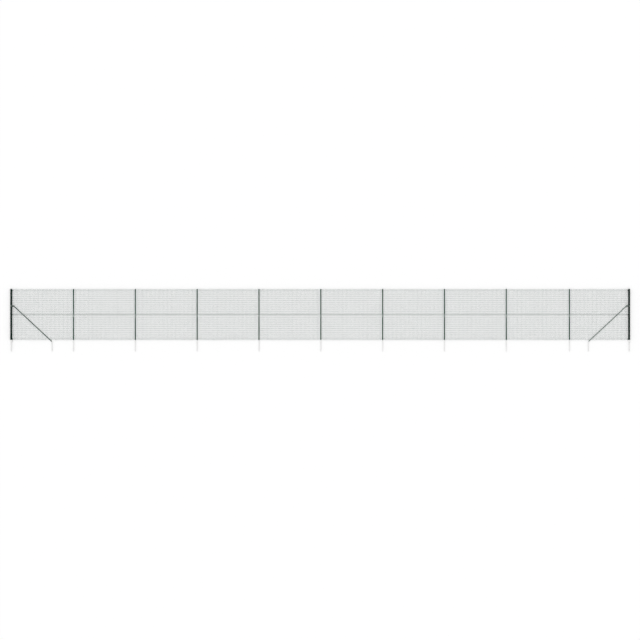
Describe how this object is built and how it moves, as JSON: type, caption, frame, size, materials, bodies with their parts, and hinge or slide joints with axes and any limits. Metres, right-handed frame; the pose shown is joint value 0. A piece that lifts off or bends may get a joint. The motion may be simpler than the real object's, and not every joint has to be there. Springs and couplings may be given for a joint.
{
  "type": "wire mesh fence",
  "caption": "Long welded-wire mesh fence laid flat: green mesh and tension wires on round steel posts in ground spikes, with a sloping brace at each end.",
  "frame": {"origin": "on the floor under the middle of the fence's box", "axes": "+X along the fence, +Y up its posts, +Z out of its face, which is up as it lies on its back"},
  "size_m": [25.0632, 2.54, 0.0816],
  "materials": {
    "coated_wire": "galvanised steel wire in a satin dark green plastic coat",
    "green_tube": "steel tube and strap, satin moss green powder coat",
    "galvanised": "hot-dip galvanised steel with a faint spangle",
    "zinc_bolts": "bright zinc plate",
    "cap_plastic": "moulded dark green plastic"
  },
  "bodies": {
    "root": {"mesh_bay_1_bottom": "coated_wire", "mesh_bay_1_middle": "coated_wire", "mesh_bay_1_top": "coated_wire", "mesh_bay_2_bottom": "coated_wire", "mesh_bay_2_middle": "coated_wire", "mesh_bay_2_top": "coated_wire", "mesh_bay_3_bottom": "coated_wire", "mesh_bay_3_middle": "coated_wire", "mesh_bay_3_top": "coated_wire", "mesh_bay_4_bottom": "coated_wire", "mesh_bay_4_middle": "coated_wire", "mesh_bay_4_top": "coated_wire", "mesh_bay_5_bottom": "coated_wire", "mesh_bay_5_middle": "coated_wire", "mesh_bay_5_top": "coated_wire", "mesh_bay_6_bottom": "coated_wire", "mesh_bay_6_middle": "coated_wire", "mesh_bay_6_top": "coated_wire", "mesh_bay_7_bottom": "coated_wire", "mesh_bay_7_middle": "coated_wire", "mesh_bay_7_top": "coated_wire", "mesh_bay_8_bottom": "coated_wire", "mesh_bay_8_middle": "coated_wire", "mesh_bay_8_top": "coated_wire", "mesh_bay_9_bottom": "coated_wire", "mesh_bay_9_middle": "coated_wire", "mesh_bay_9_top": "coated_wire", "mesh_bay_10_bottom": "coated_wire", "mesh_bay_10_middle": "coated_wire", "mesh_bay_10_top": "coated_wire", "tension_wire_bottom": "coated_wire", "tension_wire_middle": "coated_wire", "tension_wire_top": "coated_wire", "line_post_1": "green_tube", "line_post_2": "green_tube", "line_post_3": "green_tube", "line_post_4": "green_tube", "line_post_5": "green_tube", "line_post_6": "green_tube", "line_post_7": "green_tube", "line_post_8": "green_tube", "line_post_9": "green_tube", "end_post_left": "green_tube", "end_post_right": "green_tube", "brace_left": "green_tube", "brace_right": "green_tube", "brace_clamps": "green_tube", "tension_bands": "green_tube", "line_post_spikes": "galvanised", "end_post_spikes": "galvanised", "brace_spikes": "galvanised", "middle_wire_clips": "galvanised", "brace_bolts": "zinc_bolts", "brace_nuts": "zinc_bolts", "band_bolts": "zinc_bolts", "band_nuts": "zinc_bolts", "clip_screws": "zinc_bolts", "line_post_caps": "cap_plastic", "end_post_caps": "cap_plastic"}
  },
  "joints": []
}
